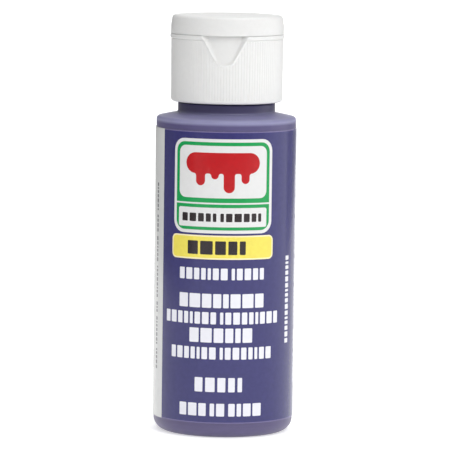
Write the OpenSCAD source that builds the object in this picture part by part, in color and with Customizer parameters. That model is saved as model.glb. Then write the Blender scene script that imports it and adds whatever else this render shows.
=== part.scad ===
// Squeeze bottle of craft paint with a screw closure and a flip lid.
// +Z is up, the bottle stands on z = 0 with its axis on Z, and the lid's thumb recess faces -Y.

/* [Bottle] */
// Outer diameter of the bottle's body
body_d = 35.1; // [28:0.1:45]
// Height at which the neck rises from the shoulder
shoulder_z = 80.6; // [50:0.1:120]
// Wall thickness of the body
wall = 1.05; // [0.7:0.05:1.3]
// Corner radius round the base
base_corner = 3.3; // [1.6:0.1:4]
// Width of the flat ring that the bottle stands on
foot_w = 1.6; // [1:0.1:3]
// Rise of the dished base at its centre
push_up = 1.6; // [0.5:0.1:3]
// Slope of the shoulder, in degrees
shoulder_slope = 12; // [8:1:35]
// Radius of the shoulder's outer edge
shoulder_edge_r = 0.8; // [0.5:0.1:3]

/* [Neck] */
// Outer diameter over the neck's thread
thread_d = 24; // [20:0.1:29]
// Depth of the thread
thread_depth = 1.05; // [0.8:0.05:1.3]
// Rise of the thread in one turn
thread_pitch = 3.175; // [2.9:0.005:4.2]
// Number of turns of the thread
thread_turns = 1.5; // [1:0.25:2]
// Axial width of a thread ridge at its root
ridge_root_w = 1.9; // [1.2:0.1:2.1]
// Axial width of a thread ridge at its crest
ridge_crest_w = 0.8; // [0.4:0.1:1]
// Distance from the lip down to the middle of the thread's last ridge
thread_drop = 2.6; // [2:0.1:3.5]
// Height of the neck from the shoulder to the lip
finish_h = 17.4; // [15:0.1:22]
// Wall thickness of the neck under the thread
neck_wall = 1.85; // [1.2:0.05:2.4]
// How far the collar below the closure stands out past the thread
collar_proud = 0.225; // [0.1:0.025:0.4]
// Radius where the collar meets the shoulder
collar_fillet = 0.5; // [0.2:0.1:1]

/* [Label] */
// Height of the label's lower edge
label_bottom = 3.9; // [3:0.1:10]
// Bare band between the label and the shoulder's rounded edge
label_top_margin = 2; // [0.5:0.1:10]
// Thickness of the label
label_t = 0.2; // [0.05:0.05:0.4]

/* [Paint] */
// Depth of the empty space, from the shoulder down to the paint
headspace = 9.5; // [4:0.5:30]
// Thickness of the wet coat that the paint leaves above its level
coat_t = 0.15; // [0.05:0.05:0.2]
// How far that coat climbs into the neck
coat_climb = 3; // [1:0.5:10]

/* [Closure] */
// Height of the closure's lower edge above the shoulder
closure_rise = 2.7; // [1:0.1:4]
// Wall thickness of the closure's skirt
skirt_wall = 1.8; // [1.5:0.1:3]
// Height of the smooth rounded band below the ribs
skirt_foot_h = 0.8; // [0.4:0.1:2]
// How far that band stands out past the ribs
skirt_foot_proud = 0.05; // [0.02:0.01:0.2]
// Number of grip ribs around the skirt
rib_count = 120; // [40:4:160]
// Depth of the grooves between the ribs
rib_depth = 0.2; // [0.1:0.05:0.4]
// Height of the smooth band above the ribs
bead_h = 1; // [0.5:0.1:2]
// How far that band stands out past the ribs
bead_proud = 0.225; // [0.05:0.025:0.5]
// Thickness of the deck that closes the neck
deck_t = 1.6; // [1:0.1:3]
// Height of the closure's rim above the deck
rim_h = 0.5; // [0.3:0.1:2]
// Height of the ring that the lid fits over, above the rim
seat_h = 1.1; // [0.5:0.1:1.5]
// Thickness of that ring
seat_t = 0.5; // [0.4:0.1:1]
// Outer diameter of the nozzle
nozzle_d = 6; // [5:0.1:9]
// Height of the nozzle above the deck
nozzle_h = 2.2; // [1.5:0.1:2.5]
// Diameter of the hole that the paint leaves by
orifice_d = 3.2; // [2:0.1:4]
// Depth of the plug seal below the deck
seal_h = 2.5; // [1.5:0.1:4]
// Wall thickness of the plug seal
seal_t = 1; // [0.6:0.1:1.5]
// Height of the thumb recess, down from the lid
recess_h = 7.3; // [4:0.1:10]
// Depth of the thumb recess at its top
recess_depth = 1.7; // [0.8:0.1:1.9]
// Radius of the thumb recess's hollow face
recess_r = 40; // [15:1:80]

/* [Lid] */
// Height of the lid
lid_h = 4.8; // [4:0.1:8]
// How far the lid stands out past the ribs
lid_proud = 0.08; // [0:0.02:0.3]
// Wall thickness of the lid
lid_wall = 1.1; // [0.8:0.1:1.5]
// Thickness of the lid's top
lid_top_t = 1.2; // [0.8:0.1:1.5]
// Radius of the lid's top edge
lid_edge_r = 1; // [0.4:0.1:1.5]
// How far the lid's plug reaches into the nozzle
plug_reach = 1.5; // [1:0.1:1.6]
// Width of the living hinge
hinge_w = 8; // [5:0.5:10]
// Height of the hinge's thin film
hinge_film_h = 1; // [0.6:0.1:1.6]
// Thickness of the hinge's thin film
hinge_film_t = 0.3; // [0.2:0.05:0.4]
// Height of the flat that the hinge lies in
hinge_flat_h = 4.4; // [3:0.2:5]

/* [Fits] */
// Radial gap between the plug seal and the neck's bore
seal_gap = 0.05; // [0.02:0.01:0.1]
// Radial gap between each thread's crest and the wall it faces
thread_gap = 0.3; // [0.2:0.05:0.5]
// Gap between the deck and the neck's lip
lip_gap = 0.1; // [0.05:0.05:0.3]
// Gap between the collar and the closure's lower edge
collar_gap = 0.3; // [0.2:0.05:0.6]
// Gap along the parting line between the lid and the closure
parting_gap = 0.12; // [0.05:0.01:0.3]
// Radial gap between the lid's wall and the ring inside it
seat_gap = 0.5; // [0.3:0.05:1]
// Radial gap between the lid's plug and the nozzle's hole
plug_gap = 0.15; // [0.12:0.01:0.25]
// Gap that sets how far the hinge's slot runs past its film
hinge_side_gap = 0.2; // [0.1:0.05:0.4]

/* [Hidden] */
$fn = 96;

CUT = 1;            // how far a cutting tool runs past what it cuts
ARC_STEPS = 8;      // straight pieces in a rounded corner's profile
DOME_STEPS = 10;    // straight pieces in the dished base's profile
THREAD_STEPS = 36;  // rings in one turn of a thread
THREAD_ROOT = 0.3;  // how far a thread's root is buried in its wall
THREAD_FADE = 5;    // rings over which a thread's end fades out
LIP_R = 0.5;        // radius of the neck's lip
COLLAR_EDGE = 0.3;  // chamfer on the collar's top
SHOULDER_IN_R = 0.4;  // least radius of the shoulder's edge inside the wall
PLUG_TIP_H = 0.7;   // height of the lid plug's tapered tip
PLUG_TIP_IN = 0.3;  // how much narrower that tip is, on the radius
SEAL_LEAD = 0.5;    // chamfer that leads the plug seal into the bore
NOZZLE_EDGE = 0.4;  // chamfer round the nozzle's top

// Bottle
body_r = body_d / 2;
foot_r = body_r - base_corner;
foot_in_r = foot_r - foot_w;
// Neck
thread_r = thread_d / 2;
neck_r = thread_r - thread_depth;
bore_r = neck_r - neck_wall;
collar_r = thread_r + collar_proud;
lip_z = shoulder_z + finish_h;
thread_top = lip_z - thread_drop;
thread_bottom = thread_top - thread_turns * thread_pitch;
label_top = shoulder_edge(0)[0][1] - label_top_margin;
paint_level = shoulder_z - headspace;
// Closure
skirt_in_r = thread_r + thread_gap;
skirt_r = skirt_in_r + skirt_wall;
bead_r = skirt_r + bead_proud;
closure_z = shoulder_z + closure_rise;
deck_z = lip_z + lip_gap;
deck_top = deck_z + deck_t;
parting_z = deck_top + rim_h;
// Lid
lid_r = skirt_r + lid_proud;
lid_in_r = lid_r - lid_wall;
lid_z = parting_z + parting_gap;
top_z = parting_z + lid_h;
ceiling_z = top_z - lid_top_t;
seat_r = lid_in_r - seat_gap;
nozzle_top = deck_top + nozzle_h;
orifice_r = orifice_d / 2;
plug_r = orifice_r - plug_gap;
plug_z = nozzle_top - plug_reach;
// Hinge: its film lies on a flat at the back, level with the parting line. The slot round it is
// wide enough that the lid's wall beside it lies in front of the axis and swings clear.
hinge_flat_y = sqrt(pow(lid_r, 2) - pow(hinge_w / 2 + hinge_side_gap, 2));
hinge_axis_y = hinge_flat_y - hinge_film_t / 2;
hinge_half = sqrt(pow(lid_r, 2) - pow(hinge_axis_y, 2)) + 2 * hinge_side_gap;
hinge_z = parting_z + parting_gap / 2;
hinge_slot_y = hinge_flat_y - 2 * hinge_film_t;

// Points of an arc round [cr, cz], from angle a to angle b
function arc(cr, cz, r, a, b, steps = ARC_STEPS) =
    [for (i = [0:steps]) let (t = a + (b - a) * i / steps) [cr + r * cos(t), cz + r * sin(t)]];

function reversed(points) = [for (i = [len(points) - 1:-1:0]) points[i]];

// Height of the shoulder's sloping face at radius r
function shoulder_on_slope(r) = shoulder_z - (r - collar_r) * tan(shoulder_slope);

// The dished base, a spherical cap, from the axis out to the foot, t inside its outer face
dome_r = (pow(foot_in_r, 2) + pow(push_up, 2)) / (2 * push_up);
dome_a = asin(foot_in_r / dome_r);
function base_dome(t) = [for (i = [0:DOME_STEPS]) let (a = dome_a * i / DOME_STEPS)
    [(dome_r + t) * sin(a), push_up - dome_r + (dome_r + t) * cos(a)]];

// The base and the wall's lower corner, t inside the outer face
function base_line(t) = concat(base_dome(t), arc(foot_r, base_corner, base_corner - t, -90, 0));

// The shoulder's rounded edge, t inside the outer face, tangent to the wall and to the slope
function shoulder_edge(t) = let (
        r = max(shoulder_edge_r - t, SHOULDER_IN_R),
        cr = body_r - t - r,
        cz = shoulder_on_slope(cr) - (t + r) / cos(shoulder_slope))
    arc(cr, cz, r, 0, 90 - shoulder_slope);

// That edge and the slope, t inside the outer face, up to the bore's radius r
function shoulder_line(t, r) = concat(
    shoulder_edge(t),
    [[r, shoulder_on_slope(r) - t / cos(shoulder_slope)]]);

// The shoulder's outer line ends in a fillet against the collar
function collar_line() = let (
        cr = collar_r + collar_fillet,
        cz = shoulder_on_slope(cr) + collar_fillet / cos(shoulder_slope))
    concat(
        shoulder_edge(0),
        arc(cr, cz, collar_fillet, 270 - shoulder_slope, 180),
        [[collar_r, closure_z - collar_gap - COLLAR_EDGE],
         [collar_r - COLLAR_EDGE, closure_z - collar_gap],
         [neck_r, closure_z - collar_gap]],
        arc(neck_r - LIP_R, lip_z - LIP_R, LIP_R, 0, 90, 4));

// One ring of a thread: a trapezium from radius a, wide_a high, to radius b, wide_b high
function thread_ring(a, wide_a, b, wide_b, z, turn) =
    [for (p = [[a, -wide_a], [b, -wide_b], [b, wide_b], [a, wide_a]])
        [p[0] * cos(turn), p[0] * sin(turn), z + p[1] / 2]];

// A helical ridge that starts at height z. It stands from the wall at wall_r to crest_r,
// which lies outside the wall on a bottle and inside it on a closure.
module thread(wall_r, crest_r, z) {
    outside = crest_r > wall_r;
    count = ceil(thread_turns * THREAD_STEPS);
    root_r = outside ? wall_r - THREAD_ROOT : wall_r + THREAD_ROOT;
    rings = [for (i = [0:count]) let (
            fade = min(1, (i + 0.2) / THREAD_FADE, (count - i + 0.2) / THREAD_FADE),
            crest = wall_r + (crest_r - wall_r) * fade,
            turn = 360 * thread_turns * i / count,
            rise = z + thread_pitch * thread_turns * i / count)
        outside ? thread_ring(root_r, ridge_root_w, crest, ridge_crest_w, rise, turn)
                : thread_ring(crest, ridge_crest_w, root_r, ridge_root_w, rise, turn)];
    side = [for (i = [0:count - 1], j = [0:3]) let (k = (j + 1) % 4)
        each [[4 * i + j, 4 * i + 4 + k, 4 * i + 4 + j], [4 * i + j, 4 * i + k, 4 * i + 4 + k]]];
    ends = [[0, 2, 1], [0, 3, 2],
            [4 * count, 4 * count + 1, 4 * count + 2], [4 * count, 4 * count + 2, 4 * count + 3]];
    polyhedron(points = [for (ring = rings) each ring], faces = concat(side, ends));
}

// A ring between two radii, from height z up by h
module ring(outer, inner, z, h) {
    translate([0, 0, z]) difference() {
        cylinder(r = outer, h = h);
        translate([0, 0, -CUT]) cylinder(r = inner, h = h + 2 * CUT);
    }
}

// The flat and the slot that the living hinge lies in, cut across the parting line
module hinge_cut() {
    translate([-hinge_half, hinge_flat_y, hinge_z - hinge_flat_h / 2])
        cube([2 * hinge_half, CUT + bead_proud + lid_r - hinge_flat_y, hinge_flat_h]);
    translate([-hinge_half, hinge_slot_y, hinge_z - hinge_film_h / 2])
        cube([2 * hinge_half, CUT + bead_proud + lid_r - hinge_slot_y, hinge_film_h]);
}

// Blow-moulded body and neck, one wall thick, with the thread outside the neck
module bottle() {
    color("#6c6592") {
        rotate_extrude() polygon(concat(
            base_line(0),
            collar_line(),
            [[bore_r, lip_z]],
            reversed(shoulder_line(wall, bore_r)),
            reversed(base_line(wall))));
        thread(neck_r, thread_r, thread_bottom);
    }
}

// Printed film, wrapped once round the body
module label() {
    color("#302f63") ring(body_r + label_t, body_r, label_bottom, label_top - label_bottom);
}

// The fill, up to its level
module paint() {
    color("#463b7d") rotate_extrude()
        polygon(concat(base_line(wall), [[body_r - wall, paint_level], [0, paint_level]]));
}

// The wet coat that clings to the wall, the shoulder and the neck above the level
module paint_coat() {
    coat_top = shoulder_z + coat_climb;
    color("#54498c") rotate_extrude() polygon(concat(
        [[body_r - wall, paint_level]],
        shoulder_line(wall, bore_r),
        [[bore_r, coat_top], [bore_r - coat_t, coat_top]],
        reversed(shoulder_line(wall + coat_t, bore_r - coat_t)),
        [[body_r - wall - coat_t, paint_level]]));
}

// Outline of the ribbed skirt: a point on each rib and one in each groove
module ribbed_outline() {
    polygon([for (i = [0:2 * rib_count - 1]) let (
            a = 180 * i / rib_count,
            r = i % 2 == 0 ? skirt_r : skirt_r - rib_depth)
        [r * cos(a), r * sin(a)]]);
}

// The closure's outer form: a rounded foot, the ribs and a smooth band up to the lid
module skirt_form() {
    ribs_z = closure_z + skirt_foot_h;
    bead_z = parting_z - bead_h;
    foot_edge = skirt_foot_h / 2;
    skirt_foot_r = skirt_r + skirt_foot_proud;
    rotate_extrude() polygon(concat(
        [[0, closure_z]],
        arc(skirt_foot_r - foot_edge, closure_z + foot_edge, foot_edge, -90, 0, 4),
        [[skirt_foot_r, ribs_z], [0, ribs_z]]));
    translate([0, 0, ribs_z]) linear_extrude(height = bead_z - ribs_z) ribbed_outline();
    translate([0, 0, bead_z]) cylinder(r = bead_r, h = bead_h);
}

// The thumb recess: a hollow face that leans in towards the lid
module thumb_recess() {
    lean = atan(recess_depth / recess_h);
    translate([0, -skirt_r, parting_z - recess_h]) rotate([-lean, 0, 0])
        translate([0, -recess_r, -recess_h]) cylinder(r = recess_r, h = 2 * recess_h + CUT);
}

// Screw closure: ribbed skirt, deck, rim and the ring that the lid fits over
module cap_body() {
    color("#eceded") {
        difference() {
            skirt_form();
            translate([0, 0, closure_z - CUT])
                cylinder(r = skirt_in_r, h = deck_z - closure_z + CUT);
            translate([0, 0, deck_top]) cylinder(r = seat_r - seat_t, h = rim_h + CUT);
            translate([0, 0, deck_z - CUT]) cylinder(r = nozzle_d / 2, h = deck_t + 2 * CUT);
            thumb_recess();
            hinge_cut();
        }
        ring(seat_r, seat_r - seat_t, deck_top, rim_h + seat_h);
        thread(skirt_in_r, neck_r + thread_gap, thread_bottom - thread_pitch / 2);
    }
}

// Short spout in the middle of the deck, with the hole that the paint leaves by
module nozzle() {
    color("#e6e7e7") difference() {
        rotate_extrude() polygon([
            [0, deck_z], [nozzle_d / 2, deck_z], [nozzle_d / 2, nozzle_top - NOZZLE_EDGE],
            [nozzle_d / 2 - NOZZLE_EDGE, nozzle_top], [0, nozzle_top]]);
        translate([0, 0, deck_z - CUT])
            cylinder(r = orifice_r, h = nozzle_top - deck_z + 2 * CUT);
    }
}

// Ring below the deck that plugs the neck's bore
module plug_seal() {
    seal_r = bore_r - seal_gap;
    seal_z = deck_z - seal_h;
    color("#e2e3e3") rotate_extrude() polygon([
        [seal_r - seal_t, deck_z], [seal_r - seal_t, seal_z], [seal_r - SEAL_LEAD, seal_z],
        [seal_r, seal_z + SEAL_LEAD], [seal_r, deck_z]]);
}

// Thin film that joins the lid to the closure and bends as the lid opens
module living_hinge() {
    color("#dcdddd") translate([-hinge_w / 2, hinge_flat_y - hinge_film_t, hinge_z - hinge_film_h / 2])
        cube([hinge_w, hinge_film_t, hinge_film_h]);
}

// Flip lid: a shallow cup with a rounded top edge
module lid() {
    color("#f1f1f1") difference() {
        rotate_extrude() polygon(concat(
            [[lid_in_r, lid_z], [lid_r, lid_z]],
            arc(lid_r - lid_edge_r, top_z - lid_edge_r, lid_edge_r, 0, 90),
            [[0, top_z], [0, ceiling_z], [lid_in_r, ceiling_z]]));
        hinge_cut();
    }
}

// Pin under the lid that stops the nozzle's hole
module lid_plug() {
    color("#e9eaea") rotate_extrude() polygon([
        [0, plug_z], [plug_r - PLUG_TIP_IN, plug_z], [plug_r, plug_z + PLUG_TIP_H],
        [plug_r, ceiling_z], [0, ceiling_z]]);
}

bottle();
label();
paint();
paint_coat();
cap_body();
nozzle();
plug_seal();
living_hinge();
lid();
lid_plug();
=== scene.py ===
"""Looks of the craft paint bottle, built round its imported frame. Lengths here are in millimetres."""

import math

import bmesh
import bpy
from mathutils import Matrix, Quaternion, Vector
from mathutils.geometry import delaunay_2d_cdt


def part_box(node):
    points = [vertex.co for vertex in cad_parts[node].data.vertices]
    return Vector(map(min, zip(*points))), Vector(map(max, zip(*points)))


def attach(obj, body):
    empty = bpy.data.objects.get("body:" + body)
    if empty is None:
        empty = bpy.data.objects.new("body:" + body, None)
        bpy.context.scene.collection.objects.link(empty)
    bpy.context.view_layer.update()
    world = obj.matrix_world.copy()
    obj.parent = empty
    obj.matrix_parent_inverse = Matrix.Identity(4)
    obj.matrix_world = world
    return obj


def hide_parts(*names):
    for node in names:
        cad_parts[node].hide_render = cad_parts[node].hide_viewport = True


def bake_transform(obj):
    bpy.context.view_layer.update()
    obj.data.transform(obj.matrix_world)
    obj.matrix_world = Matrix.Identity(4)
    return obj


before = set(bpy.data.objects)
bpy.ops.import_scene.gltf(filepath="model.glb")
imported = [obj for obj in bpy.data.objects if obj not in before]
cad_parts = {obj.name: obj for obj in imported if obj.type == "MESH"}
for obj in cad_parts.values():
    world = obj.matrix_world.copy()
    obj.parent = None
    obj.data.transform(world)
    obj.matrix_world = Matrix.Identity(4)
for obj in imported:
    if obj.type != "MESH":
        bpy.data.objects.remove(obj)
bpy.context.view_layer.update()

MM = 0.001


def box_mm(node):
    """A CAD node's lowest and highest corner, in millimetres."""
    low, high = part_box(node)
    return low / MM, high / MM


# ---------------------------------------------------------------- sizes from the frame

BOTTLE_HIGH = box_mm("bottle")[1]
LABEL_LOW, LABEL_HIGH = box_mm("label")
CAP_LOW, CAP_HIGH = box_mm("cap_body")
LID_LOW, LID_HIGH = box_mm("lid")
NOZZLE_HIGH = box_mm("nozzle")[1]
SEAL_HIGH = box_mm("plug_seal")[1]
PLUG_LOW, PLUG_HIGH = box_mm("lid_plug")
FILM_LOW, FILM_HIGH = box_mm("living_hinge")

BODY_R = BOTTLE_HIGH.x
LIP_Z = BOTTLE_HIGH.z
CLOSURE_Z = CAP_LOW.z
BEAD_R = CAP_HIGH.x
SEAT_TOP = CAP_HIGH.z
DECK_Z = SEAL_HIGH.z
LID_R = LID_HIGH.x
LID_Z = LID_LOW.z
TOP_Z = LID_HIGH.z
FLAT_Y = FILM_HIGH.y
HINGE_Z = (FILM_LOW.z + FILM_HIGH.z) / 2

# ---------------------------------------------------------------- sizes repeated from the part

# Bottle
WALL = 1.05
BASE_CORNER = 3.3
FOOT_W = 1.6
PUSH_UP = 1.6
SHOULDER_Z = 80.6
SHOULDER_SLOPE = 12.0
SHOULDER_EDGE_R = 0.8
SHOULDER_INNER_R = 0.4
COLLAR_R = 12.225
COLLAR_TOP = 83.0
COLLAR_FILLET = 0.5
NECK_R = 10.95
BORE_R = 9.1

# Thread
THREAD_R = 12.0
THREAD_PITCH = 3.175
THREAD_TURNS = 1.5
THREAD_TOP = LIP_Z - 2.6
THREAD_BOTTOM = THREAD_TOP - THREAD_TURNS * THREAD_PITCH
RIDGE_ROOT_W = 1.9
RIDGE_CREST_W = 0.8
THREAD_GAP = 0.3

# Closure and lid
SKIRT_IN_R = THREAD_R + THREAD_GAP
LID_GAP = 0.06
PARTING_Z = LID_Z - LID_GAP
DECK_TOP = PARTING_Z - 0.5
NOZZLE_BORE_R = 1.6
BEAD_H = 1.0
SEAT_R = 12.58
SEAT_T = 0.5
LID_WALL = 1.1
CEILING_Z = PLUG_HIGH.z

# Flat and slot at the back that leave room for the hinge
HINGE_SLOT_Y = FLAT_Y - 0.6
HINGE_FLAT_H = 4.4
HINGE_SLOT_HALF = 5.05

# ---------------------------------------------------------------- looks' own sizes

# Bends in degrees past which an edge stays crisp, and a length that counts as none
SHARP_BEND = 38.0
SHARP_BEND_CLOSURE = 50.0
SHARP_BEND_LABEL = 40.0
SAME = 1e-6

# Bottle: mesh divisions and roundings; a thread ridge fades over this share of its run
BOTTLE_COLUMNS = 240
NECK_ROWS = 72
NECK_ROWS_FOOT = 2.0
NECK_ROWS_HEAD = 1.0
COLLAR_EDGE = 0.3
NECK_FILLET = 0.25
LIP_EDGE = 0.5
BORE_EDGE = 0.3
RIDGE_FADE = 0.09

# Skirt and its ribs, which fade at both ends and stop clear of the thumb recess
SKIRT_FOOT_R = 14.0
SKIRT_HEAD_R = 14.12
SKIRT_CORNER = 0.6
SKIRT_ROWS = 66
SKIRT_ROWS_FOOT = 1.4
RIB_COUNT = 120
RIB_COLUMNS = 4
RIB_DEPTH = 0.115
RIB_FADE = 0.35
RIB_CLEAR_START = 0.25
RIB_CLEAR_END = 0.55
MOUTH_BEVEL_W = 0.35
MOUTH_BEVEL_H = 0.4
SKIRT_FILLET = 0.4

# Bead at the skirt's head, the groove below it and the lid's seat above it
GROOVE_H = 0.22
GROOVE_DEPTH = 0.12
BEAD_FOOT_R = 0.12
BEAD_ROW = 0.3
EDGE_R = 0.08
SEAT_FILLET = 0.15
SEAT_EDGE_R = 0.2
DECK_FILLET = 0.3

# Thumb recess: its outline, its raised rim, and its leaning floor with a sloping wall
RECESS_ROW = 0.14
RECESS_ARC_R = 2.85
RECESS_HALF_ANGLE = 30.0
RECESS_HEIGHT = 7.4
RECESS_RIM = 0.19
RECESS_RIM_W = 0.26
RECESS_START = 0.3
RECESS_LEAN = 0.13
RECESS_WALL_SLOPE = 1.5
RECESS_SOFT = 0.2
RECESS_MARGIN = 1.0
RECESS_BLEND_START = 0.25
RECESS_BLEND_END = -0.05

# Nozzle
NOZZLE_SINK = 0.1
NOZZLE_FOOT_H = 0.2
NOZZLE_FOOT_DRAFT = 0.08
NOZZLE_TAPER = 0.15
NOZZLE_EDGE_R = 0.4
NOZZLE_BORE_EDGE_R = 0.25

# Lid; the dish in its top is given as distance in from its wall, and depth
LID_COLUMNS = 320
LID_EDGE_R = 0.9
LID_TAPER = 0.25
LID_CEILING_RIM = 1.2
LID_CORNER_R = 0.5
LID_BEVEL_W = 0.15
LID_BEVEL_H = 0.3
LID_DISH = [(2.2, 0.02), (6.0, 0.05), (LID_R, 0.08)]

# Lid's plug
PLUG_TIP_R = 0.2
PLUG_TIP_H = 0.8
PLUG_TIP_DRAFT = 0.3
PLUG_FILLET = 0.5
PLUG_SINK = 0.2

# Hinge's web: how far it reaches into its neighbours, and the waist along its middle
WEB_STEPS = 16
WEB_OVERLAP = 0.12
WEB_WAIST = 0.35
WEB_WAIST_H = 0.22

# Half the height of the steps at the hinge's flat and slot
STEP_HALF = 0.01

# ---------------------------------------------------------------- camera, floor and light

# Camera, in millimetres and degrees; its near and far limits are in metres
CAMERA_DISTANCE = 990.0
CAMERA_ELEVATION = 5.8
CAMERA_AZIMUTH = 2.5
CAMERA_ROLL = 0.75
CAMERA_LENS = 313.6
CAMERA_SENSOR = 36.0
CAMERA_NEAR = 0.05
CAMERA_FAR = 20.0
CAMERA_TARGET_Z = 51.9

# Table, walls, side cards and key light, in metres
FLOOR_FRONT = 0.55
FLOOR_FAR = 3.0
FLOOR_GLOW = 0.56
WALL_HEIGHT = 0.6
FLAG_LOW = 0.02
FLAG_HIGH = 0.3
KEY_PLACE = (0.32, -0.54, 0.58)
KEY_TARGET = (0, 0, 0.06)
KEY_SIZE = (0.6, 0.45)
KEY_POWER = 2.0

# Surroundings: brightness, and where along a direction's Z or Y it changes
DARK_ROOM = 0.12
HORIZON_LOW = -0.12
HORIZON_HIGH = 0.02
FRONT_START = -0.75
FRONT_END = -0.3
SIDE_LIGHT = 0.3
TOP_LIGHT = 1.5
OVERHEAD_START = 0.4
OVERHEAD_END = 0.95


def make_camera():
    """A long lens, a little above the bottle and to its right."""
    azimuth, elevation = math.radians(CAMERA_AZIMUTH), math.radians(CAMERA_ELEVATION)
    back = Vector((
        math.sin(azimuth) * math.cos(elevation),
        -math.cos(azimuth) * math.cos(elevation),
        math.sin(elevation),
    ))
    camera = bpy.data.objects.new("camera", bpy.data.cameras.new("camera"))
    camera.data.lens = CAMERA_LENS
    camera.data.sensor_width = CAMERA_SENSOR
    camera.data.clip_start = CAMERA_NEAR
    camera.data.clip_end = CAMERA_FAR
    camera.location = Vector((0, 0, CAMERA_TARGET_Z * MM)) + back * CAMERA_DISTANCE * MM
    camera.rotation_mode = "QUATERNION"
    roll = Quaternion((0, 0, 1), math.radians(CAMERA_ROLL))
    camera.rotation_quaternion = (-back).to_track_quat("-Z", "Y") @ roll
    bpy.context.scene.collection.objects.link(camera)
    bpy.context.scene.camera = camera


def make_key():
    """A soft rectangular light in front of the bottle, above it and to its right, in metres."""
    data = bpy.data.lights.new("key", "AREA")
    data.shape = "RECTANGLE"
    data.size, data.size_y = KEY_SIZE
    data.energy = KEY_POWER
    key = bpy.data.objects.new("key", data)
    key.location = KEY_PLACE
    key.rotation_mode = "QUATERNION"
    key.rotation_quaternion = (Vector(KEY_TARGET) - Vector(KEY_PLACE)).to_track_quat("-Z", "Y")
    bpy.context.scene.collection.objects.link(key)


def new_sheet(name, corners, faces):
    """An object of flat faces, in metres."""
    mesh = bpy.data.meshes.new(name)
    mesh.from_pydata(corners, [], faces)
    sheet = bpy.data.objects.new(name, mesh)
    bpy.context.scene.collection.objects.link(sheet)
    return sheet


def make_world():
    """White surroundings, brightest overhead, with a dim room below and in front of the table."""
    world = bpy.data.worlds.new("studio")
    world.use_nodes = True
    nodes, links = world.node_tree.nodes, world.node_tree.links
    place = nodes.new("ShaderNodeTexCoord")
    split = nodes.new("ShaderNodeSeparateXYZ")
    links.new(place.outputs["Generated"], split.inputs["Vector"])

    def ranged(source, low, high, out_low, out_high):
        node = nodes.new("ShaderNodeMapRange")
        node.inputs["From Min"].default_value = low
        node.inputs["From Max"].default_value = high
        node.inputs["To Min"].default_value = out_low
        node.inputs["To Max"].default_value = out_high
        links.new(source, node.inputs["Value"])
        return node.outputs["Result"]

    def joined(operation, first, second):
        node = nodes.new("ShaderNodeMath")
        node.operation = operation
        links.new(first, node.inputs[0])
        links.new(second, node.inputs[1])
        return node.outputs["Value"]

    above = ranged(split.outputs["Z"], HORIZON_LOW, HORIZON_HIGH, DARK_ROOM, 1.0)
    behind = ranged(split.outputs["Y"], FRONT_START, FRONT_END, DARK_ROOM, 1.0)
    room = joined("MAXIMUM", above, behind)
    sky = ranged(split.outputs["Z"], OVERHEAD_START, OVERHEAD_END, SIDE_LIGHT, TOP_LIGHT)
    links.new(joined("MULTIPLY", room, sky), nodes["Background"].inputs["Strength"])
    nodes["Background"].inputs["Color"].default_value = (1.0, 1.0, 1.0, 1)
    return world


def make_floor():
    """A pale, faintly glowing table top with a wall at the back and at both sides."""
    far, front, high = FLOOR_FAR, -FLOOR_FRONT, WALL_HEIGHT
    corners = [
        (-far, front, 0), (far, front, 0), (far, far, 0), (-far, far, 0),
        (-far, front, high), (far, front, high), (far, far, high), (-far, far, high),
    ]
    floor = new_sheet("floor", corners, [(0, 1, 2, 3), (3, 2, 6, 7), (2, 1, 5, 6), (0, 3, 7, 4)])
    pale = bpy.data.materials.new("pale_floor")
    pale.use_nodes = True
    shader = pale.node_tree.nodes["Principled BSDF"]
    shader.inputs["Base Color"].default_value = (0.8, 0.8, 0.8, 1)
    shader.inputs["Roughness"].default_value = 0.9
    shader.inputs["Emission Color"].default_value = (1, 1, 1, 1)
    shader.inputs["Emission Strength"].default_value = FLOOR_GLOW
    floor.data.materials.append(pale)


def make_flag(name, x, front, back, tone):
    """An upright grey card beside the bottle that the camera doesn't see. It runs from front to
    back, in metres along Y, and darkens the bottle's edge on its side."""
    low, high = FLAG_LOW, FLAG_HIGH
    corners = [(x, front, low), (x, back, low), (x, back, high), (x, front, high)]
    flag = new_sheet(name, corners, [(0, 1, 2, 3)])
    card = bpy.data.materials.new(name)
    card.use_nodes = True
    shader = card.node_tree.nodes["Principled BSDF"]
    shader.inputs["Base Color"].default_value = (tone, tone, tone, 1)
    flag.data.materials.append(card)
    flag.visible_camera = False


def make_stage():
    """A pale table with walls, white surroundings, a key light and a grey card at each side."""
    scene = bpy.context.scene
    scene.view_settings.view_transform = "Standard"
    scene.view_settings.look = "None"
    scene.world = make_world()

    make_floor()
    make_flag("left_flag", x=-0.17, front=-0.15, back=1.1, tone=0.28)
    make_flag("right_flag", x=0.2, front=0.11, back=1.1, tone=0.5)
    make_key()


# ---------------------------------------------------------------- mesh helpers


def arc(centre_r, centre_z, radius, start, end, steps):
    """Points of an arc in the (r, z) plane, from angle start to angle end in degrees."""
    points = []
    for i in range(steps + 1):
        t = math.radians(start + (end - start) * i / steps)
        points.append((centre_r + radius * math.cos(t), centre_z + radius * math.sin(t)))
    return points


def rows(r, low, high, count):
    """Points up a straight wall at radius r."""
    return [(r, low + (high - low) * i / count) for i in range(count + 1)]


def smoothstep(low, high, x):
    """0 at low and 1 at high, with level ends; low may be above high."""
    t = min(1.0, max(0.0, (x - low) / (high - low)))
    return t * t * (3 - 2 * t)


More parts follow.
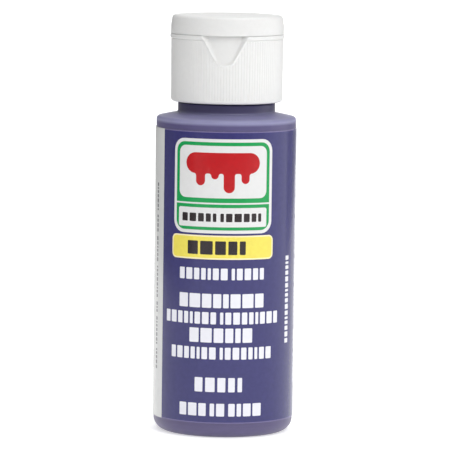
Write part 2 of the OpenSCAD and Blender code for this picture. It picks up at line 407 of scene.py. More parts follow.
def new_object(name, vertices, faces, sharp=SHARP_BEND):
    """A smooth object from points in millimetres; edges bent by more than sharp degrees stay crisp."""
    mesh = bpy.data.meshes.new(name)
    mesh.from_pydata([(x * MM, y * MM, z * MM) for x, y, z in vertices], [], faces)
    mesh.validate()
    build = bmesh.new()
    build.from_mesh(mesh)
    bmesh.ops.recalc_face_normals(build, faces=build.faces)
    build.to_mesh(mesh)
    build.free()
    mesh.shade_smooth()
    mesh.set_sharp_from_angle(angle=math.radians(sharp))
    piece = bpy.data.objects.new(name, mesh)
    bpy.context.scene.collection.objects.link(piece)
    return piece


def lathe(name, profile, columns, radius=None, loop=False, sharp=SHARP_BEND):
    """Turns a profile of (r, z) points about Z. radius(turn, r, z) may reshape it, turn in radians
    from +X. A point on the axis becomes one vertex. loop joins the profile's end to its start."""
    vertices, rings, faces = [], [], []
    for r, z in profile:
        if r < SAME:
            rings.append([len(vertices)] * columns)
            vertices.append((0.0, 0.0, z))
            continue
        rings.append(list(range(len(vertices), len(vertices) + columns)))
        for c in range(columns):
            turn = math.tau * c / columns
            shaped = radius(turn, r, z) if radius else r
            vertices.append((shaped * math.cos(turn), shaped * math.sin(turn), z))
    pairs = list(zip(rings, rings[1:]))
    if loop:
        pairs.append((rings[-1], rings[0]))
    for below, above in pairs:
        for c in range(columns):
            d = (c + 1) % columns
            corners = (below[c], below[d], above[d], above[c])
            face = tuple(dict.fromkeys(corners))
            if len(face) > 2:
                faces.append(face)
    return new_object(name, vertices, faces, sharp)


def ridge(turn, z, start_z):
    """Share of full height, 0 to 1, of a thread ridge that starts at height start_z."""
    best = 0.0
    for lap in range(math.ceil(THREAD_TURNS) + 1):
        travel = turn + math.tau * lap
        along = travel / (math.tau * THREAD_TURNS)
        if along > 1:
            break
        fade = smoothstep(0, RIDGE_FADE, along) * smoothstep(0, RIDGE_FADE, 1 - along)
        away = abs(z - start_z - THREAD_PITCH * travel / math.tau)
        flank = (RIDGE_ROOT_W / 2 - away) / ((RIDGE_ROOT_W - RIDGE_CREST_W) / 2)
        best = max(best, fade * smoothstep(0, 1, flank))
    return best


# ---------------------------------------------------------------- materials

# Grains count per metre and heights are in metres; gloss varies more slowly than tone
GLOSS_GRAIN = 1 / 6
BUMP_GRAIN = 4000.0
BUMP_HEIGHT = 0.0001
ROUGH_SWING = 0.05
PLASTIC_IOR = 1.5
COAT_ROUGHNESS = 0.12
INK_ROUGHNESS = 0.2


def srgb(r, g, b):
    """A colour given in 0 to 255 as the linear colour that shaders take."""
    def linear(v):
        v /= 255
        return v / 12.92 if v <= 0.04045 else ((v + 0.055) / 1.055) ** 2.4
    return (linear(r), linear(g), linear(b), 1.0)


def scaled(color, share):
    """A colour made brighter or darker by a share."""
    return tuple(min(1.0, c * share) for c in color[:3]) + (1.0,)


def surface(name, color, roughness, mottle, grain=900.0, bump=0.03, coat=0.0, subsurface=0.0,
            depth=(0.001, 0.001, 0.001)):
    """A moulded or printed surface: two close tones mixed by fine noise, uneven gloss and a slight
    bump, in the frame's own coordinates. grain counts per metre."""
    made = bpy.data.materials.new(name)
    made.use_nodes = True
    nodes, links = made.node_tree.nodes, made.node_tree.links
    shader = nodes["Principled BSDF"]
    place = nodes.new("ShaderNodeTexCoord")

    tone = nodes.new("ShaderNodeTexNoise")
    tone.inputs["Scale"].default_value = grain
    tone.inputs["Detail"].default_value = 4.0
    links.new(place.outputs["Object"], tone.inputs["Vector"])
    ramp = nodes.new("ShaderNodeValToRGB")
    ramp.color_ramp.elements[0].position = 0.3
    ramp.color_ramp.elements[1].position = 0.7
    ramp.color_ramp.elements[0].color = scaled(color, 1 - mottle)
    ramp.color_ramp.elements[1].color = scaled(color, 1 + mottle)
    links.new(tone.outputs["Fac"], ramp.inputs["Fac"])
    links.new(ramp.outputs["Color"], shader.inputs["Base Color"])

    gloss = nodes.new("ShaderNodeTexNoise")
    gloss.inputs["Scale"].default_value = grain * GLOSS_GRAIN
    links.new(place.outputs["Object"], gloss.inputs["Vector"])
    spread = nodes.new("ShaderNodeMapRange")
    spread.inputs["To Min"].default_value = roughness - ROUGH_SWING
    spread.inputs["To Max"].default_value = roughness + ROUGH_SWING
    links.new(gloss.outputs["Fac"], spread.inputs["Value"])
    links.new(spread.outputs["Result"], shader.inputs["Roughness"])

    relief = nodes.new("ShaderNodeTexNoise")
    relief.inputs["Scale"].default_value = BUMP_GRAIN
    links.new(place.outputs["Object"], relief.inputs["Vector"])
    bumps = nodes.new("ShaderNodeBump")
    bumps.inputs["Strength"].default_value = bump
    bumps.inputs["Distance"].default_value = BUMP_HEIGHT
    links.new(relief.outputs["Fac"], bumps.inputs["Height"])
    links.new(bumps.outputs["Normal"], shader.inputs["Normal"])

    shader.inputs["IOR"].default_value = PLASTIC_IOR
    shader.inputs["Coat Weight"].default_value = coat
    shader.inputs["Coat Roughness"].default_value = COAT_ROUGHNESS
    if subsurface:
        shader.inputs["Subsurface Weight"].default_value = subsurface
        shader.inputs["Subsurface Radius"].default_value = depth
        shader.inputs["Subsurface Scale"].default_value = 1.0
    return made


def tinted_by_height(made, stops):
    """Multiplies a surface's base colour by a tint that changes with height: stops are (z, tint)."""
    nodes, links = made.node_tree.nodes, made.node_tree.links
    shader = nodes["Principled BSDF"]
    source = shader.inputs["Base Color"].links[0].from_socket
    place = nodes.new("ShaderNodeTexCoord")
    split = nodes.new("ShaderNodeSeparateXYZ")
    links.new(place.outputs["Object"], split.inputs["Vector"])
    low, high = stops[0][0], stops[-1][0]
    share = nodes.new("ShaderNodeMapRange")
    share.inputs["From Min"].default_value = low * MM
    share.inputs["From Max"].default_value = high * MM
    links.new(split.outputs["Z"], share.inputs["Value"])
    ramp = nodes.new("ShaderNodeValToRGB")
    elements = ramp.color_ramp.elements
    elements[0].color = stops[0][1]
    elements[-1].color = stops[-1][1]
    for z, tint in stops[1:-1]:
        elements.new((z - low) / (high - low)).color = tint
    links.new(share.outputs["Result"], ramp.inputs["Fac"])
    mix = nodes.new("ShaderNodeMix")
    mix.data_type = "RGBA"
    mix.blend_type = "MULTIPLY"
    mix.inputs["Factor"].default_value = 1.0
    links.new(source, mix.inputs["A"])
    links.new(ramp.outputs["Color"], mix.inputs["B"])
    links.new(mix.outputs["Result"], shader.inputs["Base Color"])


PLASTIC_WHITE = surface("closure_white", srgb(232, 232, 231), 0.34, mottle=0.012, bump=0.05,
                        subsurface=0.15, depth=(0.0012, 0.0011, 0.001))
PLASTIC_VIOLET = surface("milky_violet", srgb(99, 89, 130), 0.36, mottle=0.03, grain=300.0,
                         bump=0.06, subsurface=0.25, depth=(0.0012, 0.001, 0.0018))
PAINT_VIOLET = surface("wet_paint", srgb(74, 62, 128), 0.12, mottle=0.02, coat=0.5)

# By height: a darker foot that is painted shade where the bottle meets the table, the wall with
# paint behind it, a pale shoulder edge and slope that are a painted highlight, a dark collar that
# is partly the paint behind it and partly painted shade under the closure, and a pale neck above
# the paint
tinted_by_height(PLASTIC_VIOLET, [
    # Painted shade at the foot, where the bottle meets the table
    (0.2, (0.55, 0.57, 0.6, 1)),
    (1.6, (0.8, 0.83, 0.84, 1)),
    (60.0, (0.9, 0.92, 0.94, 1)),
    (78.1, (0.8, 0.86, 0.92, 1)),
    # Painted highlight on the shoulder's rounded edge and slope
    (78.7, (2.3, 2.85, 2.05, 1)),
    (79.6, (1.85, 2.25, 1.7, 1)),
    (80.6, (1.8, 2.15, 1.65, 1)),
    # Dark collar: the paint behind it, with painted shade under the closure
    (81.2, (0.5, 0.55, 0.62, 1)),
    (83.5, (0.55, 0.6, 0.68, 1)),
    (88.0, (1.9, 2.0, 1.8, 1)),
])

# Bare film and inks of the label
FILM_INKS = {
    "field": surface("ink_violet", srgb(52, 50, 108), INK_ROUGHNESS, mottle=0.07),
    "white": surface("film_white", srgb(226, 226, 226), INK_ROUGHNESS, mottle=0.015),
    # A darker copy of the film's white: painted shade for the side panel on the bottle's left
    "white_shaded": surface("film_white_painted_shade", srgb(215, 216, 215), INK_ROUGHNESS, mottle=0.015),
    "print": surface("ink_print_white", srgb(232, 232, 240), INK_ROUGHNESS, mottle=0.015),
    "green": surface("ink_green", srgb(8, 154, 78), INK_ROUGHNESS, mottle=0.05),
    "red": surface("ink_red", srgb(186, 6, 18), INK_ROUGHNESS, mottle=0.05),
    "yellow": surface("ink_yellow", srgb(238, 222, 92), INK_ROUGHNESS, mottle=0.03),
    "cream": surface("ink_cream", srgb(250, 238, 190), INK_ROUGHNESS, mottle=0.02),
    "black": surface("ink_black", srgb(36, 26, 30), INK_ROUGHNESS, mottle=0.05),
    # The lighter strip along the label's top and bottom edges is a painted highlight
    "edge_highlight": surface("film_edge_painted_highlight", srgb(112, 104, 150), INK_ROUGHNESS, mottle=0.05),
    "grey": surface("ink_grey", srgb(120, 120, 124), INK_ROUGHNESS, mottle=0.05),
}

# ---------------------------------------------------------------- bottle


def shoulder_on_slope(r):
    """Height of the shoulder's slope at radius r."""
    return SHOULDER_Z - (r - COLLAR_R) * math.tan(math.radians(SHOULDER_SLOPE))


def base_line(depth):
    """The dished base, the foot and the lower corner, at a depth inside the outer face."""
    foot_r = BODY_R - BASE_CORNER
    foot_in = foot_r - FOOT_W
    dome_r = (foot_in**2 + PUSH_UP**2) / (2 * PUSH_UP)
    reach = math.asin(foot_in / dome_r)
    steps = 12
    points = []
    for i in range(steps + 1):
        a = reach * i / steps
        r = (dome_r + depth) * math.sin(a)
        points.append((r, PUSH_UP - dome_r + (dome_r + depth) * math.cos(a)))
    return points + arc(foot_r, BASE_CORNER, BASE_CORNER - depth, -90, 0, 12)


def shoulder_line(depth):
    """The shoulder's rounded edge, at a depth inside the outer face."""
    round_r = max(SHOULDER_EDGE_R - depth, SHOULDER_INNER_R)
    slope = math.radians(SHOULDER_SLOPE)
    edge_r = BODY_R - depth - round_r
    edge_z = shoulder_on_slope(edge_r) - (depth + round_r) / math.cos(slope)
    return arc(edge_r, edge_z, round_r, 0, 90 - SHOULDER_SLOPE, 10)


def make_bottle():
    """Body, shoulder, collar and threaded neck, with the wall's inner face."""
    slope = math.radians(SHOULDER_SLOPE)
    fillet_r = COLLAR_R + COLLAR_FILLET
    fillet_z = shoulder_on_slope(fillet_r) + COLLAR_FILLET / math.cos(slope)
    outer = (
        base_line(0)
        + shoulder_line(0)
        + arc(fillet_r, fillet_z, COLLAR_FILLET, 270 - SHOULDER_SLOPE, 180, 6)
        + arc(COLLAR_R - COLLAR_EDGE, COLLAR_TOP - COLLAR_EDGE, COLLAR_EDGE, 0, 90, 4)
        + arc(NECK_R + NECK_FILLET, COLLAR_TOP + NECK_FILLET, NECK_FILLET, 270, 180, 3)
        + rows(NECK_R, THREAD_BOTTOM - NECK_ROWS_FOOT, LIP_Z - NECK_ROWS_HEAD, NECK_ROWS)
        + arc(NECK_R - LIP_EDGE, LIP_Z - LIP_EDGE, LIP_EDGE, 0, 90, 5)
    )
    inner = (
        arc(BORE_R + BORE_EDGE, LIP_Z - BORE_EDGE, BORE_EDGE, 90, 180, 4)
        + [(BORE_R, shoulder_on_slope(BORE_R) - WALL / math.cos(slope))]
        + shoulder_line(WALL)[::-1]
        + base_line(WALL)[::-1]
    )

    def shape(turn, r, z):
        if abs(r - NECK_R) < SAME:
            return r + (THREAD_R - NECK_R) * ridge(turn, z, THREAD_BOTTOM)
        return r

    bottle = lathe("bottle_shell", outer + inner, BOTTLE_COLUMNS, shape)
    bottle.data.materials.append(PLASTIC_VIOLET)
    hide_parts("bottle")
    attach(bottle, "bottle")


# ---------------------------------------------------------------- closure


def recess_distance(across, up):
    """Signed distance from the thumb recess's outline: a round bottom with two straight sides
    that spread upwards. across is from its middle and up is from its lowest point."""
    lean = math.radians(RECESS_HALF_ANGLE)
    x, y = abs(across), up - RECESS_ARC_R
    if x * math.sin(lean) + y * math.cos(lean) >= 0:
        return x * math.cos(lean) - y * math.sin(lean) - RECESS_ARC_R
    return math.hypot(x, y) - RECESS_ARC_R


def front_offset(turn):
    """Signed angle from the front, -Y, in radians, for a turn from +X."""
    return (turn - 1.5 * math.pi + math.pi) % math.tau - math.pi


def hinge_limit(turn, z, outer):
    """The radius that the hinge's flat and slot leave at the back, +Y."""
    sine = math.sin(turn)
    if sine <= 0 or abs(z - HINGE_Z) > HINGE_FLAT_H / 2:
        return outer
    limit = min(outer, FLAT_Y / sine)
    in_slot = abs(z - HINGE_Z) < (FILM_HIGH.z - FILM_LOW.z) / 2
    if in_slot and abs(limit * math.cos(turn)) < HINGE_SLOT_HALF:
        limit = min(limit, HINGE_SLOT_Y / sine)
    return limit


def skirt_radius(z):
    """The skirt widens a little from its foot to the lid."""
    low = CLOSURE_Z + SKIRT_CORNER
    share = min(1.0, max(0.0, (z - low) / (PARTING_Z - BEAD_H - low)))
    return SKIRT_FOOT_R + (SKIRT_HEAD_R - SKIRT_FOOT_R) * share


def closure_outside(turn, r, z):
    """The closure's outer wall: ribs, thumb recess and hinge recess."""
    bead_z = PARTING_Z - BEAD_H
    across = front_offset(turn) * r
    up = z - (PARTING_Z - RECESS_HEIGHT)
    away = recess_distance(across, up)
    shaped = r
    if CLOSURE_Z + SKIRT_CORNER <= z <= bead_z:
        phase = (turn * RIB_COUNT / math.tau) % 1.0
        groove = 0.5 - 0.5 * math.cos(math.tau * phase)
        ends = smoothstep(0, RIB_FADE, z - CLOSURE_Z - SKIRT_CORNER)
        ends *= smoothstep(0, RIB_FADE, bead_z - GROOVE_H - z)
        shaped -= RIB_DEPTH * groove * ends * smoothstep(RIB_CLEAR_START, RIB_CLEAR_END, away)
    if up > -RECESS_MARGIN:
        inner = smoothstep(RECESS_BLEND_START, RECESS_BLEND_END, away)
        plain = skirt_radius(z)
        shaped += (plain - shaped) * inner + RECESS_RIM * math.exp(-((away / RECESS_RIM_W) ** 2))
        if away < 0:
            # The shallower of the leaning floor and the sloping side, with a soft change between them
            floor = RECESS_START + RECESS_LEAN * max(0.0, up)
            side = -away * RECESS_WALL_SLOPE
            mix = min(1.0, max(0.0, 0.5 + 0.5 * (floor - side) / RECESS_SOFT))
            shaped -= floor * (1 - mix) + side * mix - RECESS_SOFT * mix * (1 - mix)
    return hinge_limit(turn, z, shaped)


def closure_profile():
    """The closure's outer line, from its foot to its top edge."""
    bead_z = PARTING_Z - BEAD_H
    ribs_z = CLOSURE_Z + SKIRT_CORNER
    recess_z = PARTING_Z - RECESS_HEIGHT - RECESS_MARGIN
    heights = [ribs_z + RIB_FADE * i / 3 for i in range(1, 4)]
    heights += [ribs_z + RIB_FADE + (recess_z - ribs_z - RIB_FADE) * i / 4 for i in range(1, 4)]
    fine = int((bead_z - recess_z) / RECESS_ROW)
    heights += [recess_z + (bead_z - GROOVE_H - recess_z) * i / fine for i in range(fine + 1)]
    heights += [HINGE_Z - HINGE_FLAT_H / 2 - STEP_HALF, HINGE_Z - HINGE_FLAT_H / 2 + STEP_HALF]
    groove_r = SKIRT_HEAD_R - GROOVE_DEPTH
    return (
        arc(SKIRT_FOOT_R - SKIRT_CORNER, ribs_z, SKIRT_CORNER, -90, 0, 7)
        + [(skirt_radius(z), z) for z in sorted(heights)]
        + [(groove_r, bead_z - GROOVE_H * 0.75), (groove_r, bead_z - GROOVE_H * 0.25)]
        + arc(BEAD_R - BEAD_FOOT_R, bead_z + BEAD_FOOT_R, BEAD_FOOT_R, -90, 0, 3)
        + [(BEAD_R, z) for z in (bead_z + BEAD_ROW, FILM_LOW.z - STEP_HALF, FILM_LOW.z + STEP_HALF)]
        + arc(BEAD_R - EDGE_R, PARTING_Z - EDGE_R, EDGE_R, 0, 90, 3)
    )


def make_closure():
    """Ribbed skirt with its thread, the deck round the nozzle and the ring that the lid sits on."""
    ridge_z = THREAD_BOTTOM - THREAD_PITCH / 2
    outside = closure_profile()
    inside = (
        [(SEAT_R + SEAT_FILLET, PARTING_Z), (SEAT_R, PARTING_Z + SEAT_FILLET)]
        + arc(SEAT_R - SEAT_EDGE_R, SEAT_TOP - SEAT_EDGE_R, SEAT_EDGE_R, 0, 90, 3)
        + arc(SEAT_R - SEAT_T + SEAT_EDGE_R, SEAT_TOP - SEAT_EDGE_R, SEAT_EDGE_R, 90, 180, 3)
        + arc(SEAT_R - SEAT_T - DECK_FILLET, DECK_TOP + DECK_FILLET, DECK_FILLET, 0, -90, 4)
        + [(NOZZLE_HIGH.x - NOZZLE_SINK, DECK_TOP), (NOZZLE_HIGH.x - NOZZLE_SINK, DECK_Z)]
        + [(SKIRT_IN_R - SKIRT_FILLET, DECK_Z)]
        + arc(SKIRT_IN_R - SKIRT_FILLET, DECK_Z - SKIRT_FILLET, SKIRT_FILLET, 90, 0, 3)
        + rows(SKIRT_IN_R, THREAD_TOP, ridge_z - SKIRT_ROWS_FOOT, SKIRT_ROWS)
        + [(SKIRT_IN_R, CLOSURE_Z + MOUTH_BEVEL_H), (SKIRT_IN_R + MOUTH_BEVEL_W, CLOSURE_Z)]
    )
    outer_radii = {round(r, 4) for r, _ in outside}

    def shape(turn, r, z):
        if abs(r - SKIRT_IN_R) < SAME:
            depth = SKIRT_IN_R - NECK_R - THREAD_GAP
            return r - depth * ridge(turn, z, ridge_z)
        if round(r, 4) in outer_radii and r > SKIRT_FOOT_R - SKIRT_CORNER - 0.01:
            return closure_outside(turn, r, z)
        return r

    columns = RIB_COUNT * RIB_COLUMNS
    profile = outside + inside
    closure = lathe("closure_body", profile, columns, shape, loop=True, sharp=SHARP_BEND_CLOSURE)
    closure.data.materials.append(PLASTIC_WHITE)
    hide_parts("cap_body")
    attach(closure, "cap")


def make_nozzle():
    """The short spout in the middle of the deck, a little narrower at its top."""
    out, top, bore = NOZZLE_HIGH.x, NOZZLE_HIGH.z, NOZZLE_BORE_R
    edge_r, bore_edge_r = NOZZLE_EDGE_R, NOZZLE_BORE_EDGE_R
    profile = (
        [(bore, DECK_Z), (out, DECK_Z), (out, DECK_TOP)]
        + [(out - NOZZLE_FOOT_DRAFT, DECK_TOP + NOZZLE_FOOT_H)]
        + arc(out - NOZZLE_TAPER - edge_r, top - edge_r, edge_r, 0, 90, 5)
        + arc(bore + bore_edge_r, top - bore_edge_r, bore_edge_r, 90, 180, 4)
    )
    nozzle = lathe("pour_nozzle", profile, 96, loop=True)
    nozzle.data.materials.append(PLASTIC_WHITE)
    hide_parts("nozzle")
    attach(nozzle, "cap")


def make_lid():
    """The flip lid, open below, with a faint dish in its top."""
    inner_r = LID_R - LID_WALL
    top_r = LID_R - LID_TAPER
    flat_z = HINGE_Z + HINGE_FLAT_H / 2
    slot_z = FILM_HIGH.z
    outside = (
        arc(LID_R - EDGE_R, LID_Z + EDGE_R, EDGE_R, -90, 0, 3)
        + [(LID_R, slot_z - STEP_HALF), (LID_R, slot_z + STEP_HALF)]
        + [(LID_R, flat_z - STEP_HALF), (LID_R, flat_z + STEP_HALF)]
        + arc(top_r - LID_EDGE_R, TOP_Z - LID_EDGE_R, LID_EDGE_R, 0, 90, 10)
        + [(LID_R - inward, TOP_Z - deep) for inward, deep in LID_DISH]
    )
    inside = (
        [(0, CEILING_Z), (inner_r - LID_CEILING_RIM, CEILING_Z)]
        + arc(inner_r - LID_CORNER_R, CEILING_Z - LID_CORNER_R, LID_CORNER_R, 90, 0, 4)
        + [(inner_r, LID_Z + LID_BEVEL_H), (inner_r + LID_BEVEL_W, LID_Z)]
    )

    def shape(turn, r, z):
        return hinge_limit(turn, z, r) if r > inner_r + LID_WALL / 2 else r

    profile = outside + inside
    lid = lathe("flip_lid", profile, LID_COLUMNS, shape, loop=True, sharp=SHARP_BEND_CLOSURE)
    lid.data.materials.append(PLASTIC_WHITE)
    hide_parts("lid")
    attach(lid, "lid")


def make_lid_plug():
    """The pin under the lid, rounded at its tip and widened where it meets the lid."""
    r, tip = PLUG_HIGH.x, PLUG_LOW.z
    profile = (
        [(0, tip)]
        + arc(r - PLUG_TIP_DRAFT - PLUG_TIP_R, tip + PLUG_TIP_R, PLUG_TIP_R, -90, -20, 4)
        + [(r, tip + PLUG_TIP_H)]
        + arc(r + PLUG_FILLET, CEILING_Z - PLUG_FILLET, PLUG_FILLET, 180, 90, 4)
        + [(r + PLUG_FILLET, CEILING_Z + PLUG_SINK), (0, CEILING_Z + PLUG_SINK)]
    )
    plug = lathe("lid_stopper", profile, 64)
    plug.data.materials.append(PLASTIC_WHITE)
    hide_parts("lid_plug")
    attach(plug, "lid")


def make_hinge():
    """The thin web between lid and closure, thinnest along its middle, where it bends."""
    half, thick = FILM_HIGH.x, FILM_HIGH.y - FILM_LOW.y
    across, up = WEB_STEPS, WEB_STEPS
    low, high = FILM_LOW.z - WEB_OVERLAP, FILM_HIGH.z + WEB_OVERLAP
    vertices, faces = [], []
    for side in (0, 1):
        for j in range(up + 1):
            z = low + (high - low) * j / up
            waist = WEB_WAIST * math.exp(-(((z - HINGE_Z) / WEB_WAIST_H) ** 2))
            y = FLAT_Y - thick * (waist * 0.5 if side == 0 else 1 - waist)
            for i in range(across + 1):
                vertices.append((-half + 2 * half * i / across, y, z))
    wide = across + 1
    layer = wide * (up + 1)
    for side in (0, 1):
        for j in range(up):
            for i in range(across):
                a = side * layer + j * wide + i
                faces.append((a, a + 1, a + 1 + wide, a + wide))
    for i in range(across):
        faces.append((i, i + 1, layer + i + 1, layer + i))
        top = up * wide
        faces.append((top + i, top + i + 1, layer + top + i + 1, layer + top + i))
    for j in range(up):
        for i in (0, across):
            a = j * wide + i
            faces.append((a, a + wide, layer + a + wide, layer + a))
    web = new_object("hinge_web", vertices, faces)
    web.data.materials.append(PLASTIC_WHITE)
    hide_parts("living_hinge")
    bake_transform(web)


# ---------------------------------------------------------------- label

LABEL_T = 0.18
LABEL_GAP = 0.01
LABEL_R = BODY_R + LABEL_GAP + LABEL_T
LABEL_OVERLAP = 5.0
LABEL_RAMP = 1.2
HALF_WRAP = math.pi * LABEL_R
LABEL_START = -HALF_WRAP
LABEL_END = HALF_WRAP + LABEL_OVERLAP
GRID_COLUMNS = 144
GRID_ROWS = 18
MERGE_GAP = 1e-5
BLOCK_CORNER = 0.2
# Width of the painted highlight along the label's top and bottom edges
EDGE_HIGHLIGHT_W = 0.25

# Widths of the blocks in a word, as shares, taken in turn
BLOCK_SHARES = [1.0, 0.8, 1.15, 0.55, 0.95]

# Lines of print on the front: ends along the label, foot and head, blocks in each word, gap
PRINT_LINES = [
    (-11.2, 11.2, 39.9, 42.8, [7, 5], 0.5),
    (-11.2, 11.2, 32.9, 36.4, [8], 0.45),
    (-15.8, 15.8, 28.8, 31.8, [8, 9], 0.5),
    (-8.1, 8.1, 24.2, 27.8, [6], 0.5),
    (-13.7, 13.7, 20.0, 23.0, [7, 8], 0.5),
    (-6.5, 5.6, 11.8, 15.4, [5], 0.7),
    (-10.8, 10.8, 5.7, 8.9, [3, 2, 4], 0.5),
]

# Drips of the paint stroke: middle, width and lowest height
DRIPS = [(-5.6, 2.4, 63.4), (-1.9, 1.9, 65.0), (1.7, 2.8, 61.6), (5.8, 2.1, 63.9)]


def degrees_along(angle):
    """Distance along the label, from the front, of an angle in degrees."""
    return math.radians(angle) * LABEL_R


def rectangle(low_s, high_s, low_z, high_z):
    """The corners of a rectangle on the flat label."""
    return [(low_s, low_z), (high_s, low_z), (high_s, high_z), (low_s, high_z)]


def rounded(low_s, high_s, low_z, high_z, r, steps=6):
    """A rectangle with round corners, anticlockwise from its upper right one."""
    centres = rectangle(high_s - r, low_s + r, high_z - r, low_z + r)
    points = []
    for quarter, (s, z) in enumerate(centres):
        points += arc(s, z, r, 90 * quarter, 90 * (quarter + 1), steps)
    return points


def word_blocks(low_s, high_s, low_z, high_z, words, space=1.0, gap=0.5):
    """Plain blocks in place of a line of words: words gives the number of blocks in each."""
    units = []
    for place, count in enumerate(words):
        units.append([BLOCK_SHARES[(3 * place + 2 * i) % len(BLOCK_SHARES)] for i in range(count)])
    gaps = sum(len(unit) - 1 for unit in units) * gap + (len(words) - 1) * space
    scale = (high_s - low_s - gaps) / sum(sum(unit) for unit in units)
    found, s = [], low_s
    for unit in units:
        for share in unit:
            found.append(rounded(s, s + share * scale, low_z, high_z, BLOCK_CORNER, 2))
            s += share * scale + gap
        s += space - gap
    return found


def upright(blocks, s_mid, z_mid):
    """Blocks laid out along the label, turned to run upwards about a middle point."""
    return [[(s_mid - z, z_mid + s) for s, z in block] for block in blocks]


def paint_stroke():
    """A broad stroke of wet paint with round ends, from which drips of several lengths run down."""
    half, top, foot, fillet = 9.6, 71.6, 66.4, 0.55
    end_r = (top - foot) / 2
    points = arc(-half + end_r, foot + end_r, end_r, 90, 270, 12)
    for middle, width, drip_foot in DRIPS:
        r = width / 2
        points += arc(middle - r - fillet, foot - fillet, fillet, 90, 0, 5)
        points += arc(middle, drip_foot + r, r, 180, 360, 10)
        points += arc(middle + r + fillet, foot - fillet, fillet, 180, 90, 5)
    return points + arc(half - end_r, foot + end_r, end_r, -90, 90, 12)


def label_art():
    """The print, as (ink, outline) pairs in painting order; outlines are (along, height) points."""
    art = []

    def add(ink, *outlines):
        art.extend((ink, outline) for outline in outlines)

    # Painted highlight along the label's cut edges: a lighter violet strip at its top and bottom
    low_z, high_z = LABEL_LOW.z, LABEL_HIGH.z
    add("edge_highlight", rectangle(LABEL_START, LABEL_END, low_z, low_z + EDGE_HIGHLIGHT_W))
    add("edge_highlight", rectangle(LABEL_START, LABEL_END, high_z - EDGE_HIGHLIGHT_W, high_z))

    # White side panel, in a darker white that is painted shade on the bottle's left side,
    # with small grey print that runs upwards
    panel_edge, panel_end = degrees_along(-57.4), degrees_along(-152)
    add("white_shaded", rectangle(panel_end, panel_edge, low_z, high_z))
    for i in range(7):
        line = word_blocks(-23, 24 - 3 * (i % 3), -0.5, 0.5, [5, 7, 3, 8, 6, 4, 7], 1.1, 0.25)
        add("grey", *upright(line, degrees_along(-69 - 11 * i), 39))

    # Badge: a white card with a green frame, a stroke of dripping paint and a plate of plain blocks
    add("white", rounded(-13.3, 13.3, 51.5, 75.0, 3.0))
    add("green", rounded(-12.5, 12.5, 52.3, 74.2, 2.4))
    add("white", rounded(-11.6, 11.6, 60.3, 73.3, 1.8))
    add("white", rectangle(-12.5, 12.5, 58.75, 59.15))
    add("white", rounded(-11.7, 11.7, 53.1, 57.9, 0.5))
    add("black", *word_blocks(-10.6, 10.2, 54.4, 56.5, [5, 6]))
    add("red", paint_stroke())

    # Yellow band
    add("cream", rounded(-13.85, 13.85, 45.0, 51.0, 1.3))
    add("yellow", rounded(-13.5, 13.5, 45.35, 50.65, 1.0))
    add("black", *word_blocks(-8.9, 6.1, 46.2, 49.6, [5], gap=0.6))

    # Lines of print on the front
    for low_s, high_s, foot, head, words, gap in PRINT_LINES:
        add("print", *word_blocks(low_s, high_s, foot, head, words, gap=gap))

    # Print that runs upwards on the right, and a block of small print behind it
    add("print", *upright(word_blocks(-11, 11, -0.8, 0.8, [16], gap=0.4), degrees_along(64.5), 34.3))
    for i in range(6):
        line = word_blocks(-28, 27 - 4 * (i % 2), -0.5, 0.5, [6, 4, 8, 5, 7, 3, 6], 1.1, 0.25)
        add("print", *upright(line, degrees_along(84 + 9 * i), 40.5))
    return art


def within(outline, s, z):
    """Whether a point lies inside a closed outline."""
    found = False
    for (s0, z0), (s1, z1) in zip(outline, outline[1:] + outline[:1]):
        if (z0 > z) != (z1 > z) and s < (s1 - s0) * (z - z0) / (z1 - z0) + s0:
            found = not found
    return found


def label_radius(s):
    """Radius of the label's outer face: its end rides up over its start at the back."""
    return LABEL_R + LABEL_T * smoothstep(HALF_WRAP - LABEL_RAMP, HALF_WRAP, s)


def label_marks():
    """The print cut off at the label's edges, as (ink, outline, low corner, high corner)."""
    marks = []
    for ink, outline in label_art():
        clipped = []
        for s, z in outline:
            s = min(LABEL_END, max(LABEL_START, s))
            z = min(LABEL_HIGH.z, max(LABEL_LOW.z, z))
            clipped.append((s, z))
        low = [min(values) for values in zip(*clipped)]
        high = [max(values) for values in zip(*clipped)]
        marks.append((ink, clipped, low, high))
    return marks


def ink_at(marks, s, z):
    """The ink that is printed last at a point of the flat label."""
    found = "field"
    for ink, outline, low, high in marks:
        if low[0] < s < high[0] and low[1] < z < high[1] and within(outline, s, z):
            found = ink
    return found


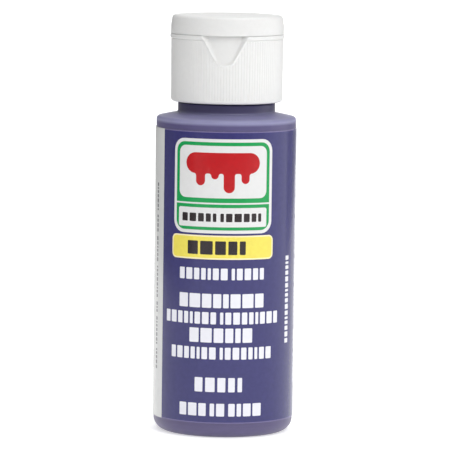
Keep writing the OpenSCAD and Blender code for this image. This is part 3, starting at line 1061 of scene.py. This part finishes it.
def flat_label(marks):
    """The label laid flat, as points and triangles: a grid with every outline cut into it."""
    low_z, high_z = LABEL_LOW.z, LABEL_HIGH.z
    step = 2 * HALF_WRAP / GRID_COLUMNS
    columns = [LABEL_START + step * i for i in range(int((LABEL_END - LABEL_START) / step) + 1)]
    levels = [low_z + (high_z - low_z) * i / GRID_ROWS for i in range(GRID_ROWS + 1)]
    paths = [[(s, low_z), (s, high_z)] for s in columns + [LABEL_END]]
    paths += [[(LABEL_START, z), (LABEL_END, z)] for z in levels]
    points, edges = [], []
    for path in paths:
        edges.append((len(points), len(points) + 1))
        points += [Vector(p) for p in path]
    for _, outline, _, _ in marks:
        first, count = len(points), len(outline)
        edges += [(first + i, first + (i + 1) % count) for i in range(count)]
        points += [Vector(p) for p in outline]
    flat, _, triangles, *_ = delaunay_2d_cdt(points, edges, [], 0, MERGE_GAP)
    return flat, [tuple(face) for face in triangles]


def on_cylinder(s, z, r):
    """The place in metres of a flat label's point, wrapped round at radius r."""
    turn = s / LABEL_R
    return (r * math.sin(turn) * MM, -r * math.cos(turn) * MM, z * MM)


def make_label():
    """The printed film: a front and a back face joined along the rim, coloured by its inks."""
    marks = label_marks()
    flat, triangles = flat_label(marks)
    inks = list(FILM_INKS)
    ink_of = []
    for face in triangles:
        s = sum(flat[i].x for i in face) / 3
        z = sum(flat[i].y for i in face) / 3
        ink_of.append(inks.index(ink_at(marks, s, z)))

    count = len(flat)
    front = [on_cylinder(p.x, p.y, label_radius(p.x)) for p in flat]
    back = [on_cylinder(p.x, p.y, label_radius(p.x) - LABEL_T) for p in flat]
    sides = dict.fromkeys(pair for face in triangles for pair in zip(face, face[1:] + face[:1]))
    rim = [(a, b) for a, b in sides if (b, a) not in sides]
    faces = triangles + [tuple(i + count for i in reversed(face)) for face in triangles]
    faces += [(b, a, a + count, b + count) for a, b in rim]
    ink_of += [inks.index("white")] * (len(faces) - len(ink_of))

    mesh = bpy.data.meshes.new("label_wrap")
    mesh.from_pydata(front + back, [], faces)
    for name in inks:
        mesh.materials.append(FILM_INKS[name])
    mesh.polygons.foreach_set("material_index", ink_of)
    mesh.shade_smooth()
    mesh.set_sharp_from_angle(angle=math.radians(SHARP_BEND_LABEL))
    label = bpy.data.objects.new("label_wrap", mesh)
    bpy.context.scene.collection.objects.link(label)
    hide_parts("label")
    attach(label, "bottle")


# ---------------------------------------------------------------- CAD nodes that stay


def dress(node, made):
    """Gives a CAD node that keeps its own shape a better material."""
    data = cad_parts[node].data
    data.materials.clear()
    data.materials.append(made)


make_camera()
make_stage()
make_bottle()
make_label()
make_closure()
make_nozzle()
make_lid()
make_lid_plug()
make_hinge()
dress("paint", PAINT_VIOLET)
dress("paint_coat", PAINT_VIOLET)
dress("plug_seal", PLASTIC_WHITE)
